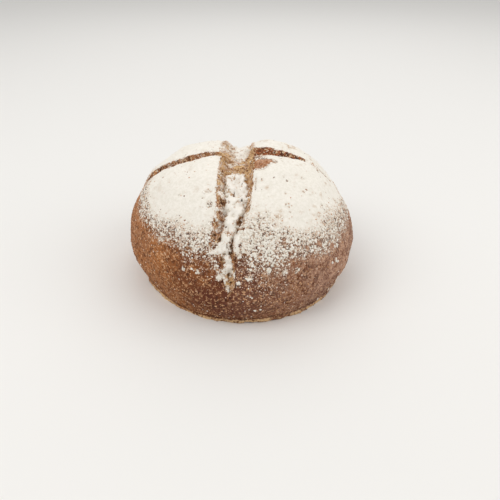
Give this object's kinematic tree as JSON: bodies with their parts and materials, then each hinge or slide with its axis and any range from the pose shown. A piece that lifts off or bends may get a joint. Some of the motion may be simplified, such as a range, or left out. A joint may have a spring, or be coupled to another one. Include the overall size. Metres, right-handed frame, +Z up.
{
  "type": "whole wheat country loaf",
  "caption": "Round domed whole wheat loaf with a torn cross cut over its crown and a flat foot, its lobes dusted with flour.",
  "frame": {"origin": "middle of the flat foot's outline, on the surface that the loaf stands on", "axes": "+Z up through the crown; -Y is the front, where the widest arm of the cross cut runs down; +X is to the right of it"},
  "size_m": [0.2214, 0.2219, 0.1241],
  "materials": {
    "crust": "dry, rough whole wheat crust, dusted with white flour over the lobes"
  },
  "bodies": {
    "root": {"loaf": "crust"}
  },
  "joints": []
}
